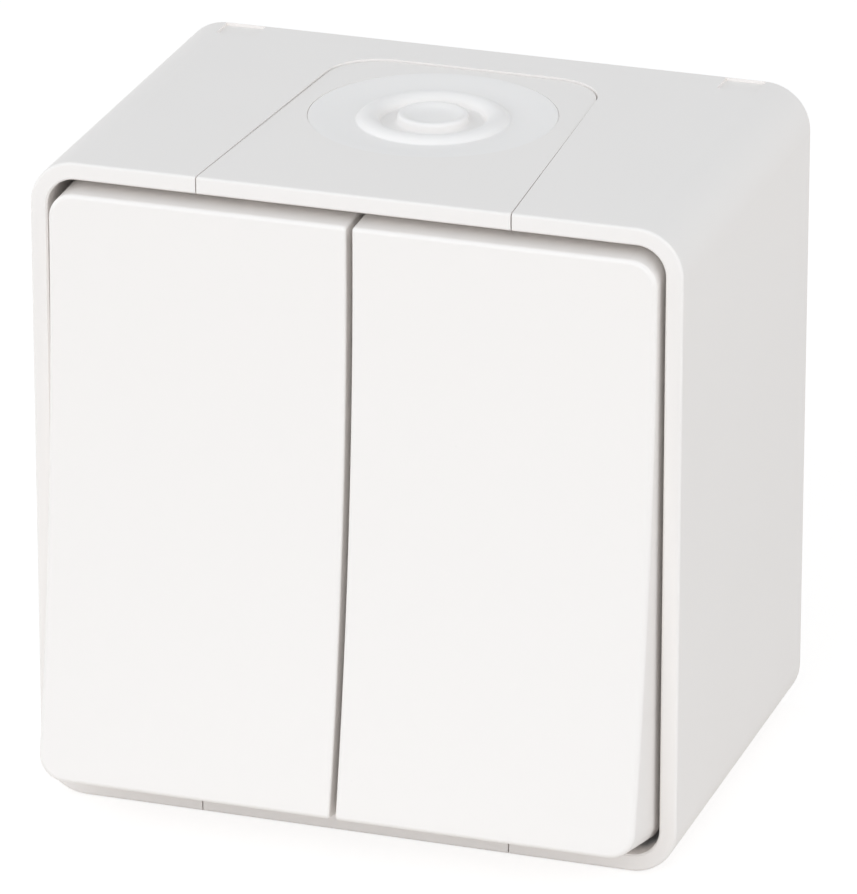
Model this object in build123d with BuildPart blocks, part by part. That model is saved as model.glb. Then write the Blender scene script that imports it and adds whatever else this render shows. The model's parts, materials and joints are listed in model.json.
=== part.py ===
"""Two-gang surface light switch for damp rooms, in millimetres.

The origin is the centre of the wall face, X runs to the right, Z runs up and the front looks along -Y.
A depth is a distance from the wall towards the front.
The right-hand gang is modelled, and the left-hand gang is its mirror image.
"""
import os
from math import cos, radians, sin, tan

from build123d import *

os.makedirs("parts", exist_ok=True)

# Housing: a box that is open at the front and screwed to the wall through its back
housing_width = 75.0
housing_height = 76.0
housing_depth = 50.0
housing_wall = 2.0
housing_corner = 5.3
back_wall = 2.4
rim_round = 0.35
rim_chamfer = 0.2
back_chamfer = 0.4

# Wall fixing holes, slots to level the switch by, and the scored knock-out for a cable from behind
wall_hole_spacing_x = 48.0
wall_hole_spacing_z = 52.0
wall_hole_diameter = 4.6
wall_slot_length = 10.0
wall_slot_width = 5.0
knockout_diameter = 22.0
knockout_groove = 1.2
knockout_web = 1.0

# Shallow break-out pockets near the back edges of the top and bottom walls
pocket_inset = 7.6
pocket_margin = 0.5
pocket_width = 4.7
pocket_length = 3.6
pocket_depth = 0.3

# Inner ledge that the gasket is pressed on, and the posts for the frame screws
ledge_setback = 15.5
ledge_clearance = 0.3
ledge_thickness = 2.0
ledge_width = 3.0
post_gap = 1.8
post_diameter = 6.4
post_web = 1.6

# Cable entry plates: tapered tongues that slide in from the front, with outer faces that fall a little to the back
tongue_back_margin = 6.7
tongue_taper = 3.3
tongue_fall = 0.25
tongue_corner = 6.3
tongue_gap = 0.15
flange_thickness = 1.2
flange_lap = 1.6
rib_gap = 0.3

# Membranes: soft grommets with a dished skin, a raised bead and a nipple
membrane_margin = 1.6
membrane_side_margin = 2.4
disc_thickness = 1.6
dish_depth = 0.9
bead_radius = 7.3
bead_width = 2.8
bead_height = 1.15
bead_slope = 0.5
nipple_radius = 4.0
nipple_rim = 0.9
nipple_edge = 0.3
nipple_height = 1.2
nipple_dish = 0.5
neck_inset = 3.4
lip_lap = 1.3
lip_thickness = 0.8
skin_thickness = 1.0
membrane_gap = 0.05

# Gasket and pressed steel frame behind the rockers
gasket_thickness = 1.3
gasket_width = 3.6
gasket_gap = 0.15
frame_thickness = 1.0
frame_gap = 0.3
window_margin = 2.0

# Screws with slotted pan heads
frame_screw_diameter = 2.9
frame_screw_length = 11.0
cover_screw_diameter = 2.4
cover_screw_length = 10.0
cover_screw_margin = 2.5
head_ratio = 1.9
head_height = 1.6
slot_width = 0.8
slot_depth = 0.7
screw_gap = 0.05
pass_gap = 0.25

# Mechanism base with one contact chamber for each gang
base_depth = 22.0
base_corner = 1.5
base_floor = 4.2
base_side_wall = 2.0
base_end_wall = 0.9
chamber_width = 18.4
chamber_height = 33.0
chamber_wall = 5.2
wire_hole_diameter = 3.2

# Bearing cover in front of the frame
cover_height = 28.0
cover_thickness = 2.4
cover_corner = 2.0
lug_thickness = 2.0
lug_gap = 0.3
lug_wall = 1.9
barrel_room = 1.0

# Rockers: hollow caps with a concave front, seen at rest with the upper end pressed in
rocker_tilt = 5.5
rocker_side_clearance = 0.6
rocker_end_clearance = 0.5
rocker_end_draft = 8.0
rocker_gap = 0.7
rocker_corner = 3.0
rocker_projection = 2.9
face_radius = 330.0
rocker_skin = 2.0
skirt_thickness = 1.6
skirt_reach = 1.5
gap_skirt_lift = 3.0
rocker_round = 0.5
gap_round = 0.35
hook_width = 8.0
hook_thickness = 1.3
hook_catch = 0.7
hook_gap = 0.12

# Toggles that the rockers clip on, with the pin, the spring and the plunger
pin_diameter = 3.0
pin_gap = 0.05
hub_length = 14.0
hub_wall = 2.0
hub_clearance = 0.9
plate_height = 30.0
plate_thickness = 2.0
plate_gap = 0.05
barrel_diameter = 6.4
barrel_reach = 16.5
plunger_diameter = 4.2
plunger_gap = 0.05
plunger_seat = 12.6
plunger_clearance = 0.06
nose_radius = 1.1
nose_cone = 1.2
stub_diameter = 1.9
stub_length = 1.4
spring_diameter = 3.6
spring_wire = 0.5
spring_wire_sides = 6
spring_turns = 4
bore_end_wall = 1.6

# Seesaw contacts: the bridge rocks on the common terminal and follows the plunger
contact_tilt = 8.0
contact_arm = 11.0
bridge_overhang = 1.8
bridge_width = 5.0
bridge_thickness = 0.9
ear_thickness = 0.7
ear_gap = 0.1
ear_height = 4.0
ear_depth = 1.4
fulcrum_radius = 0.6
fulcrum_gap = 0.03
tip_diameter = 3.0
tip_height = 0.6
contact_gap = 0.06

# Push-in terminals of folded brass, each with a leaf spring that holds the wire
terminal_thickness = 1.0
terminal_width = 4.4
terminal_height = 10.0
terminal_gap = 0.1
terminal_pocket = 4.8
pocket_wall = 0.8
upper_terminal_shift = 4.0
common_terminal_shift = -6.2
fixed_strip_margin = 0.4
clamp_thickness = 0.35
clamp_fold = 1.0
clamp_reach = 8.0

# Depths and sizes worked out from the values above
cavity_width = housing_width - 2 * housing_wall
cavity_height = housing_height - 2 * housing_wall
cavity_corner = housing_corner - housing_wall
cavity_top = cavity_height / 2
flange_level = cavity_top - flange_thickness
ledge_depth = housing_depth - ledge_setback
ledge_front = ledge_depth + ledge_thickness
frame_back = ledge_front + gasket_thickness
frame_front = frame_back + frame_thickness
cover_front = frame_front + cover_thickness
rocker_width = cavity_width - 2 * rocker_side_clearance
rocker_height = cavity_height - 2 * rocker_end_clearance
pocket_spacing = housing_width - 2 * pocket_inset
pocket_inner = chamber_height / 2 + pocket_wall
gang_offset = (chamber_width + chamber_wall) / 2
base_width = 2 * (gang_offset + chamber_width / 2 + base_side_wall)
base_height = 2 * (pocket_inner + terminal_pocket + base_end_wall)
base_back = frame_back - base_depth
floor_depth = base_back + base_floor
post_spacing = base_width + 2 * post_gap + post_diameter
cover_screw_spacing = cover_height - 2 * cover_screw_margin
window_height = cover_screw_spacing - 2 * window_margin
pin_radius = pin_diameter / 2
hub_radius = pin_radius + hub_wall
pivot_depth = cover_front + hub_radius + hub_clearance
lug_radius = pin_radius + pin_gap + lug_wall
face_height = housing_depth + rocker_projection - pivot_depth
strip_front = floor_depth + terminal_thickness
tip_radius = tip_diameter / 2
bridge_back = fulcrum_radius + fulcrum_gap

# The membrane's disc fills the entry plate from its back end to the ledge, which its inner lip just clears
tongue_length = housing_depth - tongue_back_margin
disc_room = ledge_depth - ledge_clearance - tongue_back_margin - membrane_margin
disc_radius = (disc_room + neck_inset - lip_lap) / 2
neck_radius = disc_radius - neck_inset
lip_radius = neck_radius + lip_lap
membrane_depth = tongue_back_margin + membrane_margin + disc_radius
membrane_half_width = disc_radius + membrane_side_margin

# The seesaw's axis lies where its lower tip meets the lower fixed tip at rest
contact_slope = radians(contact_tilt)
tip_drop = (contact_arm + tip_radius) * sin(contact_slope)
tip_lift = (bridge_back - tip_height) * cos(contact_slope)
contact_axis = strip_front + tip_height + contact_gap + tip_drop - tip_lift
bridge_front = contact_axis + bridge_back + bridge_thickness
plunger_reach = pivot_depth - bridge_front - plunger_clearance
fixed_tip_place = contact_arm * cos(contact_slope)

# Planes that tilt with the rocker and with the seesaw
rocker_slope = radians(rocker_tilt)
rocker_plane = Plane(
    origin=(0, -pivot_depth, 0),
    x_dir=(1, 0, 0),
    z_dir=(0, -cos(rocker_slope), sin(rocker_slope)),
)
toggle_plane = Plane(
    origin=(gang_offset, -pivot_depth, 0),
    x_dir=(1, 0, 0),
    z_dir=(0, -cos(rocker_slope), sin(rocker_slope)),
)
toggle_side = Plane(
    origin=(gang_offset, -pivot_depth, 0),
    x_dir=(0, sin(rocker_slope), cos(rocker_slope)),
    z_dir=(1, 0, 0),
)
contact_plane = Plane(
    origin=(gang_offset, -contact_axis, 0),
    x_dir=(1, 0, 0),
    z_dir=(0, -cos(contact_slope), -sin(contact_slope)),
)


def at_depth(depth):
    """The plane that faces the front at a depth from the wall: its x is X and its y is Z."""
    return Plane.XZ.offset(depth)


def export(part, name):
    """Label a finished sub-part and write its STEP file."""
    part.label = name
    export_step(part, f"parts/{name}.step")


def tongue_half_width(depth):
    """Half the width of a tapered entry plate at a depth from the wall."""
    return membrane_half_width + (depth - membrane_depth) * tan(radians(tongue_taper))


def tongue_outline(level, front, grow):
    """The entry plate's outline at a height, cut off at a front depth and grown on its other sides."""
    back = tongue_back_margin - grow
    half_front = tongue_half_width(front) + grow
    half_back = tongue_half_width(back) + grow
    with BuildSketch(Plane.XY.offset(level)) as outline:
        with BuildLine():
            Polyline(
                (-half_front, -front),
                (half_front, -front),
                (half_back, -back),
                (-half_back, -back),
                close=True,
            )
        make_face()
        fillet(outline.vertices().group_by(Axis.Y)[-1], tongue_corner + grow)
    return outline.sketch


# Housing
rib_half_width = tongue_half_width(ledge_depth) + flange_lap
with BuildPart() as rear_housing:
    with BuildSketch(Plane.XZ):
        RectangleRounded(housing_width, housing_height, housing_corner)
    extrude(amount=housing_depth)
    with BuildSketch(at_depth(back_wall)):
        RectangleRounded(cavity_width, cavity_height, cavity_corner)
    extrude(amount=housing_depth - back_wall, mode=Mode.SUBTRACT)
    rim_face = rear_housing.faces().sort_by(Axis.Y)[0]
    rim_inner_edges = rim_face.inner_wires()[0].edges()
    fillet(rim_face.outer_wire().edges(), rim_round)
    chamfer(rim_inner_edges, rim_chamfer)
    chamfer(rear_housing.faces().sort_by(Axis.Y)[-1].edges(), back_chamfer)
    with BuildSketch(at_depth(ledge_depth)):
        RectangleRounded(
            cavity_width + housing_wall, cavity_height + housing_wall, cavity_corner + housing_wall / 2
        )
        RectangleRounded(
            cavity_width - 2 * ledge_width,
            cavity_height - 2 * ledge_width,
            cavity_corner,
            mode=Mode.SUBTRACT,
        )
        Rectangle(2 * (rib_half_width + rib_gap), housing_height, mode=Mode.SUBTRACT)
    extrude(amount=ledge_thickness)
    with BuildSketch(at_depth(back_wall / 2)):
        with GridLocations(post_spacing, 0, 2, 1):
            Circle(post_diameter / 2)
    extrude(amount=frame_back - back_wall / 2)
    web_length = (housing_width - post_spacing - housing_wall) / 2
    with BuildSketch(at_depth(back_wall / 2)):
        with GridLocations(post_spacing + web_length, 0, 2, 1):
            Rectangle(web_length, post_web)
    extrude(amount=ledge_depth - back_wall / 2)
    with Locations(at_depth(frame_back)):
        with GridLocations(post_spacing, 0, 2, 1):
            Hole(frame_screw_diameter / 2 + screw_gap, depth=frame_screw_length)
    with Locations(at_depth(back_wall)):
        with GridLocations(wall_hole_spacing_x, wall_hole_spacing_z, 2, 2):
            Hole(wall_hole_diameter / 2, depth=2 * back_wall)
    with BuildSketch(Plane.XZ):
        with GridLocations(0, wall_hole_spacing_z, 1, 2):
            SlotOverall(wall_slot_length, wall_slot_width)
    extrude(amount=back_wall, mode=Mode.SUBTRACT)
    with BuildSketch(at_depth(knockout_web)):
        Circle(knockout_diameter / 2)
        Circle(knockout_diameter / 2 - knockout_groove, mode=Mode.SUBTRACT)
    extrude(amount=back_wall - knockout_web, mode=Mode.SUBTRACT)
    slot_front = housing_depth + housing_wall
    for slot_level in (cavity_top, -housing_height / 2):
        slot_outline = tongue_outline(slot_level, slot_front, tongue_gap)
        extrude(slot_outline, amount=housing_wall, mode=Mode.SUBTRACT)
    for face_sign in (1, -1):
        with BuildSketch(Plane.XY.offset(face_sign * housing_height / 2)):
            with Locations((0, -pocket_margin - pocket_length / 2)):
                with GridLocations(pocket_spacing, 0, 2, 1):
                    Rectangle(pocket_width, pocket_length)
        extrude(amount=-face_sign * pocket_depth, mode=Mode.SUBTRACT)
export(rear_housing.part, "rear_housing")

# Cable entry plates
with BuildPart() as top_entry_plate:
    extrude(tongue_outline(cavity_top, housing_depth, 0), amount=housing_wall)
    with BuildSketch(Plane.YZ):
        with BuildLine():
            Polyline(
                (-housing_depth, housing_height / 2),
                (-tongue_back_margin, housing_height / 2 - tongue_fall),
                (-tongue_back_margin, housing_height / 2 + tongue_fall),
                close=True,
            )
        make_face()
    extrude(amount=housing_width, both=True, mode=Mode.SUBTRACT)
    plate_front_edges = top_entry_plate.faces().sort_by(Axis.Y)[0].edges().filter_by(Axis.X).sort_by(Axis.Z)
    fillet(plate_front_edges[-1], rim_round)
    chamfer(plate_front_edges[0], rim_chamfer)
    extrude(tongue_outline(flange_level, ledge_depth, flange_lap), amount=flange_thickness)
    with BuildSketch(at_depth(ledge_depth)):
        with Locations((0, cavity_top - ledge_width / 2)):
            Rectangle(2 * rib_half_width, ledge_width)
    extrude(amount=ledge_thickness)
    with Locations((0, -membrane_depth, housing_height / 2)):
        CounterBoreHole(
            radius=neck_radius + membrane_gap,
            counter_bore_radius=disc_radius + membrane_gap,
            counter_bore_depth=disc_thickness,
        )
export(top_entry_plate.part, "top_entry_plate")
with BuildPart() as bottom_entry_plate:
    mirror(top_entry_plate.part, about=Plane.XY)
export(bottom_entry_plate.part, "bottom_entry_plate")

# Membranes, turned round the axis of the entry hole
skin_top = housing_height / 2 - tongue_fall * (housing_depth - membrane_depth) / tongue_length
disc_floor = housing_height / 2 - disc_thickness
bead_outer = bead_radius + bead_width / 2
bead_inner = bead_radius - bead_width / 2
dish_level = skin_top - dish_depth
nipple_top = dish_level + nipple_height
nipple_mouth = nipple_radius - nipple_rim
lip_bottom = flange_level - lip_thickness
skin_bottom = dish_level - skin_thickness
with BuildPart() as top_membrane:
    with BuildSketch(at_depth(membrane_depth)):
        with BuildLine():
            Polyline(
                (0, nipple_top - nipple_dish),
                (nipple_mouth / 2, nipple_top - nipple_dish),
                (nipple_mouth, nipple_top),
                (nipple_radius - nipple_edge, nipple_top),
                (nipple_radius, nipple_top - nipple_edge),
                (nipple_radius, dish_level),
                (bead_inner, dish_level),
                (bead_inner + bead_slope, dish_level + bead_height - bead_slope / 2),
                (bead_radius, dish_level + bead_height),
                (bead_outer - bead_slope, dish_level + bead_height - bead_slope / 2),
                (bead_outer, dish_level),
                (disc_radius, skin_top),
                (disc_radius, disc_floor),
                (neck_radius, disc_floor),
                (neck_radius, flange_level),
                (lip_radius, flange_level),
                (lip_radius, lip_bottom),
                (neck_radius - skin_thickness, lip_bottom),
                (neck_radius - skin_thickness, skin_bottom),
                (0, skin_bottom),
                close=True,
            )
        make_face()
    revolve(axis=Axis((0, -membrane_depth, 0), (0, 0, 1)))
export(top_membrane.part, "top_membrane")
with BuildPart() as bottom_membrane:
    mirror(top_membrane.part, about=Plane.XY)
export(bottom_membrane.part, "bottom_membrane")

# Gasket on the ledge
with BuildPart() as sealing_gasket:
    with BuildSketch(at_depth(ledge_front)):
        RectangleRounded(
            cavity_width - 2 * gasket_gap, cavity_height - 2 * gasket_gap, cavity_corner - gasket_gap
        )
        RectangleRounded(
            cavity_width - 2 * gasket_width,
            cavity_height - 2 * gasket_width,
            cavity_corner - gasket_gap,
            mode=Mode.SUBTRACT,
        )
        with GridLocations(post_spacing, 0, 2, 1):
            Circle(post_diameter / 2 + gasket_gap, mode=Mode.SUBTRACT)
    extrude(amount=gasket_thickness)
export(sealing_gasket.part, "sealing_gasket")

# Steel frame with its window and screw holes
window_width = 2 * (gang_offset + hub_length / 2 + lug_gap)
with BuildPart() as support_frame:
    with BuildSketch(at_depth(frame_back)):
        RectangleRounded(
            cavity_width - 2 * frame_gap, cavity_height - 2 * frame_gap, cavity_corner - frame_gap
        )
        RectangleRounded(window_width, window_height, cover_corner, mode=Mode.SUBTRACT)
        with GridLocations(post_spacing, 0, 2, 1):
            Circle(frame_screw_diameter / 2 + pass_gap, mode=Mode.SUBTRACT)
        with GridLocations(0, cover_screw_spacing, 1, 2):
            Circle(cover_screw_diameter / 2 + pass_gap, mode=Mode.SUBTRACT)
    extrude(amount=frame_thickness)
export(support_frame.part, "support_frame")


def pan_head_screws(places, seat_depth, diameter, length):
    """Slotted pan-head screws side by side, with their heads on a seat and their shanks to the back."""
    head_radius = diameter * head_ratio / 2
    with BuildPart() as screws:
        with BuildSketch(at_depth(seat_depth)):
            with Locations(*places):
                Circle(head_radius)
        extrude(amount=head_height)
        with BuildSketch(at_depth(seat_depth + head_height)):
            with Locations(*places):
                Rectangle(2 * head_radius, slot_width)
        extrude(amount=-slot_depth, mode=Mode.SUBTRACT)
        with BuildSketch(at_depth(seat_depth)):
            with Locations(*places):
                Circle(diameter / 2)
        extrude(amount=-length)
    return screws.part


frame_screw_places = [(-post_spacing / 2, 0), (post_spacing / 2, 0)]
frame_screws = pan_head_screws(frame_screw_places, frame_front, frame_screw_diameter, frame_screw_length)
export(frame_screws, "frame_screws")
cover_screw_places = [(0, -cover_screw_spacing / 2), (0, cover_screw_spacing / 2)]
cover_screws = pan_head_screws(cover_screw_places, cover_front, cover_screw_diameter, cover_screw_length)
export(cover_screws, "cover_screws")

# Places of the terminal pockets: X from the middle, and the side that they open towards
upper_terminal_x = gang_offset + upper_terminal_shift
common_terminal_x = gang_offset + common_terminal_shift
terminal_places = [(upper_terminal_x, 1), (common_terminal_x, 1), (gang_offset, -1)]
pocket_middle = pocket_inner + terminal_pocket / 2
strip_end = pocket_inner + terminal_pocket - terminal_gap
terminal_room = terminal_width + 2 * terminal_gap

# Mechanism base
with BuildPart() as mechanism_base:
    with BuildSketch(at_depth(base_back)):
        RectangleRounded(base_width, base_height, base_corner)
    extrude(amount=base_depth)
    with BuildSketch(at_depth(floor_depth)):
        with GridLocations(2 * gang_offset, 0, 2, 1):
            Rectangle(chamber_width, chamber_height)
    extrude(amount=frame_back - floor_depth, mode=Mode.SUBTRACT)
    for place, side in terminal_places:
        with BuildSketch(at_depth(floor_depth)):
            with Locations((0, side * pocket_middle)):
                with GridLocations(2 * place, 0, 2, 1):
                    Rectangle(terminal_room, terminal_pocket)
        extrude(amount=frame_back - floor_depth, mode=Mode.SUBTRACT)
        with BuildSketch(at_depth(floor_depth)):
            with Locations((0, side * (pocket_inner - pocket_wall / 2))):
                with GridLocations(2 * place, 0, 2, 1):
                    Rectangle(terminal_room, 2 * pocket_wall)
        extrude(amount=terminal_thickness + terminal_gap, mode=Mode.SUBTRACT)
        with Locations(at_depth(floor_depth)):
            with Locations((0, side * pocket_middle)):
                with GridLocations(2 * place, 0, 2, 1):
                    Hole(wire_hole_diameter / 2, depth=2 * base_floor)
    with Locations(at_depth(frame_back)):
        with GridLocations(0, cover_screw_spacing, 1, 2):
            Hole(cover_screw_diameter / 2 + screw_gap, depth=cover_screw_length)
export(mechanism_base.part, "mechanism_base")

# Bearing cover: a plate with a window for each barrel and two lugs for each pin
window_lift = barrel_diameter / 2 + barrel_room + (pivot_depth - frame_front) * sin(rocker_slope)
inner_lug = gang_offset - hub_length / 2 - lug_gap - lug_thickness
outer_lug = gang_offset + hub_length / 2 + lug_gap
with BuildPart() as mechanism_cover:
    with BuildSketch(at_depth(frame_front)):
        RectangleRounded(base_width, cover_height, cover_corner)
        with GridLocations(2 * gang_offset, 0, 2, 1):
            Rectangle(barrel_diameter + 2 * barrel_room, 2 * window_lift, mode=Mode.SUBTRACT)
        with GridLocations(0, cover_screw_spacing, 1, 2):
            Circle(cover_screw_diameter / 2 + pass_gap, mode=Mode.SUBTRACT)
    extrude(amount=cover_thickness)
    for lug_start in (inner_lug, outer_lug, -inner_lug - lug_thickness, -outer_lug - lug_thickness):
        with BuildSketch(Plane.YZ.offset(lug_start)):
            with Locations((-(frame_front + pivot_depth) / 2, 0)):
                Rectangle(pivot_depth - frame_front, 2 * lug_radius)
            with Locations((-pivot_depth, 0)):
                Circle(lug_radius)
                Circle(pin_radius + pin_gap, mode=Mode.SUBTRACT)
        extrude(amount=lug_thickness)
export(mechanism_cover.part, "mechanism_cover")

# Terminals: strips on the chamber floor, folded up at the outer side of their pockets
strip_start = fixed_tip_place - tip_radius - fixed_strip_margin
strip_half_width = terminal_width / 2


def folded_terminal(place, side, plan):
    """A terminal with the floor strip that a plan sketch gives and an upright with the wire's window."""
    with BuildPart() as terminal:
        extrude(plan, amount=terminal_thickness)
        with BuildSketch(at_depth(floor_depth)):
            with Locations((place, side * (strip_end - terminal_thickness / 2))):
                Rectangle(terminal_width, terminal_thickness)
        extrude(amount=terminal_height)
        with Locations(at_depth(strip_front)):
            with Locations((place, side * pocket_middle)):
                Hole(wire_hole_diameter / 2, depth=2 * terminal_thickness)
    return terminal


def strip(low, high):
    """A rectangle between two corners of the sketch plane, in X and Z."""
    with Locations(((low[0] + high[0]) / 2, (low[1] + high[1]) / 2)):
        Rectangle(abs(high[0] - low[0]), abs(high[1] - low[1]))


with BuildSketch(at_depth(floor_depth)) as upper_plan:
    strip(
        (gang_offset - tip_radius - fixed_strip_margin, strip_start),
        (upper_terminal_x + strip_half_width, chamber_height / 2),
    )
    strip(
        (upper_terminal_x - strip_half_width, strip_start),
        (upper_terminal_x + strip_half_width, strip_end),
    )
right_upper_terminal = folded_terminal(upper_terminal_x, 1, upper_plan.sketch)

with BuildSketch(at_depth(floor_depth)) as lower_plan:
    strip((gang_offset - strip_half_width, -strip_end), (gang_offset + strip_half_width, -strip_start))
right_lower_terminal = folded_terminal(gang_offset, -1, lower_plan.sketch)

with BuildSketch(at_depth(floor_depth)) as common_plan:
    strip(
        (common_terminal_x - strip_half_width, -strip_half_width),
        (common_terminal_x + strip_half_width, strip_end),
    )
    strip(
        (common_terminal_x - strip_half_width, -strip_half_width),
        (gang_offset + bridge_width / 2, strip_half_width),
    )
common_folded = folded_terminal(common_terminal_x, 1, common_plan.sketch)
with BuildPart() as right_common_terminal:
    add(common_folded.part)
    with BuildSketch(Plane.YZ.offset(gang_offset)):
        with Locations((-(strip_front + contact_axis) / 2, 0)):
            Rectangle(contact_axis - strip_front, 2 * fulcrum_radius)
        with Locations((-contact_axis, 0)):
            Circle(fulcrum_radius)
    extrude(amount=bridge_width / 2, both=True)

# Leaf springs that press a wire against the terminal's upright
with BuildPart() as clamp_springs:
    clamp_foot = strip_front + clamp_thickness
    for place, side in terminal_places:
        clamp_heel = pocket_inner + clamp_thickness
        with BuildSketch(Plane.YZ.offset(place)):
            with BuildLine():
                Polyline(
                    (-clamp_foot, side * clamp_heel),
                    (-clamp_foot - clamp_reach, side * clamp_heel),
                    (-clamp_foot - clamp_reach, side * (clamp_heel + clamp_fold)),
                    (-clamp_foot - clamp_fold, side * (strip_end - 2 * terminal_thickness)),
                )
            trace(line_width=clamp_thickness)
        extrude(amount=strip_half_width - terminal_gap, both=True)
    mirror(clamp_springs.part, about=Plane.YZ)
export(clamp_springs.part, "clamp_springs")

# Silver tips on the upper and lower terminals
with BuildPart() as fixed_contact_tips:
    with BuildSketch(at_depth(strip_front)):
        with GridLocations(2 * gang_offset, 2 * fixed_tip_place, 2, 2):
            Circle(tip_radius)
    extrude(amount=tip_height)
export(fixed_contact_tips.part, "fixed_contact_tips")

# Seesaw bridge with its two ears, and the silver tips on its back
with BuildPart() as right_contact_bridge:
    with BuildSketch(contact_plane.offset(bridge_back)):
        Rectangle(bridge_width, 2 * (contact_arm + bridge_overhang))
        Rectangle(bridge_width + 2 * (ear_gap + ear_thickness), ear_height)
    extrude(amount=bridge_thickness)
    with BuildSketch(contact_plane.offset(bridge_back)):
        with GridLocations(bridge_width + 2 * ear_gap + ear_thickness, 0, 2, 1):
            Rectangle(ear_thickness, ear_height)
    extrude(amount=-ear_depth)
with BuildPart() as right_contact_tips:
    with BuildSketch(contact_plane.offset(bridge_back)):
        with GridLocations(0, 2 * contact_arm, 1, 2):
            Circle(tip_radius)
    extrude(amount=-tip_height)

# Rocker cap: a prism with a concave front, hollowed out parallel to that front
rocker_half_gap = rocker_gap / 2
face_sagitta = (rocker_height / 2) ** 2 / (2 * face_radius)
block_height = face_height + skirt_reach + 2 * face_sagitta
end_draft = tan(radians(rocker_end_draft))


def rocker_block(inset, skin):
    """The solid rocker with drafted ends, inset on its sides, below a skin's thickness of the concave front."""
    gap_side = rocker_half_gap + inset
    with BuildPart() as block:
        for rise in (0, block_height):
            length = rocker_height - 2 * rise * end_draft
            with BuildSketch(rocker_plane.offset(rise - skirt_reach)):
                RectangleRounded(rocker_width - 2 * inset, length - 2 * inset, rocker_corner - inset)
                with Locations((gap_side - rocker_width, 0)):
                    Rectangle(2 * rocker_width, 2 * rocker_height, mode=Mode.SUBTRACT)
        loft(ruled=True)
        with BuildSketch(toggle_side):
            with Locations((0, face_height - skin + face_radius)):
                Circle(face_radius)
            with Locations((0, face_height - skin + rocker_height)):
                Rectangle(2 * rocker_height, 2 * rocker_height, mode=Mode.INTERSECT)
        extrude(amount=rocker_width, both=True, mode=Mode.SUBTRACT)
    return block


hollow = rocker_block(skirt_thickness, rocker_skin)
solid_rocker = rocker_block(0, 0)
plate_front = face_height - rocker_skin - plate_gap
plate_back = plate_front - plate_thickness
with BuildPart() as right_rocker:
    add(solid_rocker.part)
    front_face = right_rocker.faces().filter_by(GeomType.CYLINDER).sort_by(SortBy.AREA)[-1]
    front_edges = front_face.edges().sort_by(Axis.X)
    fillet(front_edges[1:], rocker_round)
    gap_face = right_rocker.faces().sort_by(Axis.X)[0]
    fillet(gap_face.edges().sort_by(Axis.Y)[0], gap_round)
    add(hollow.part, mode=Mode.SUBTRACT)
    with BuildSketch(rocker_plane.offset(-skirt_reach)):
        with Locations((rocker_half_gap + skirt_thickness / 2, 0)):
            Rectangle(2 * skirt_thickness, rocker_height - 2 * (skirt_thickness + gap_skirt_lift * end_draft))
    extrude(amount=gap_skirt_lift, mode=Mode.SUBTRACT)
    with BuildSketch(toggle_plane.offset(plate_back - hook_gap - hook_thickness)):
        with GridLocations(0, plate_height + 2 * hook_gap + hook_thickness, 1, 2):
            Rectangle(hook_width, hook_thickness)
    extrude(amount=rocker_skin + hook_thickness + hook_gap + plate_thickness + plate_gap)
    with BuildSketch(toggle_plane.offset(plate_back - hook_gap - hook_thickness)):
        with GridLocations(0, plate_height + 2 * hook_gap - hook_catch, 1, 2):
            Rectangle(hook_width, hook_catch)
    extrude(amount=hook_thickness)

# Toggle: a plate that the rocker clips on, a hub on the pin and a barrel for the spring
bore_end = pin_radius + bore_end_wall
with BuildPart() as right_toggle:
    with BuildSketch(toggle_plane.offset(plate_back)):
        Rectangle(hub_length, plate_height)
    extrude(amount=plate_thickness)
    with BuildSketch(toggle_side):
        Circle(hub_radius)
        with Locations((0, plate_back / 2)):
            Rectangle(2 * hub_radius, plate_back)
    extrude(amount=hub_length / 2, both=True)
    with BuildSketch(toggle_plane):
        Circle(barrel_diameter / 2)
    extrude(amount=-barrel_reach)
    with BuildSketch(toggle_plane.offset(-bore_end)):
        Circle(plunger_diameter / 2 + plunger_gap)
    extrude(amount=-barrel_reach, mode=Mode.SUBTRACT)
    with BuildSketch(toggle_side):
        Circle(pin_radius + pin_gap / 2)
    extrude(amount=hub_length, both=True, mode=Mode.SUBTRACT)

# Pivot pin, through the hub and both lugs
pin_length = hub_length + 2 * (lug_gap + lug_thickness)
with BuildPart() as right_pivot_pin:
    with BuildSketch(toggle_side):
        Circle(pin_radius)
    extrude(amount=pin_length / 2, both=True)

# Plunger with a round nose and a stub for the spring, and the spring behind it
plunger_radius = plunger_diameter / 2
nose_end = plunger_reach - nose_radius
stub_radius = stub_diameter / 2
with BuildPart() as right_plunger:
    with BuildSketch(toggle_side):
        with BuildLine():
            RadiusArc((0, -plunger_reach), (nose_radius, -nose_end), -nose_radius)
            Polyline(
                (nose_radius, -nose_end),
                (plunger_radius, -nose_end + nose_cone),
                (plunger_radius, -plunger_seat),
                (stub_radius, -plunger_seat),
                (stub_radius, stub_length - plunger_seat),
                (0, stub_length - plunger_seat),
                (0, -plunger_reach),
            )
        make_face()
    revolve(axis=Axis(toggle_plane.origin, toggle_plane.z_dir))

spring_radius = (spring_diameter - spring_wire) / 2
spring_length = plunger_seat - bore_end - spring_wire
spring_start = toggle_plane.offset(-bore_end - spring_wire / 2 - spring_length)
with BuildPart() as right_spring:
    with BuildLine():
        coil = Helix(
            spring_length / spring_turns,
            spring_length,
            spring_radius,
            center=spring_start.origin,
            direction=spring_start.z_dir,
        )
    with BuildSketch(Plane(origin=coil @ 0, z_dir=coil % 0)):
        RegularPolygon(spring_wire / 2, spring_wire_sides)
    sweep()

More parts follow.
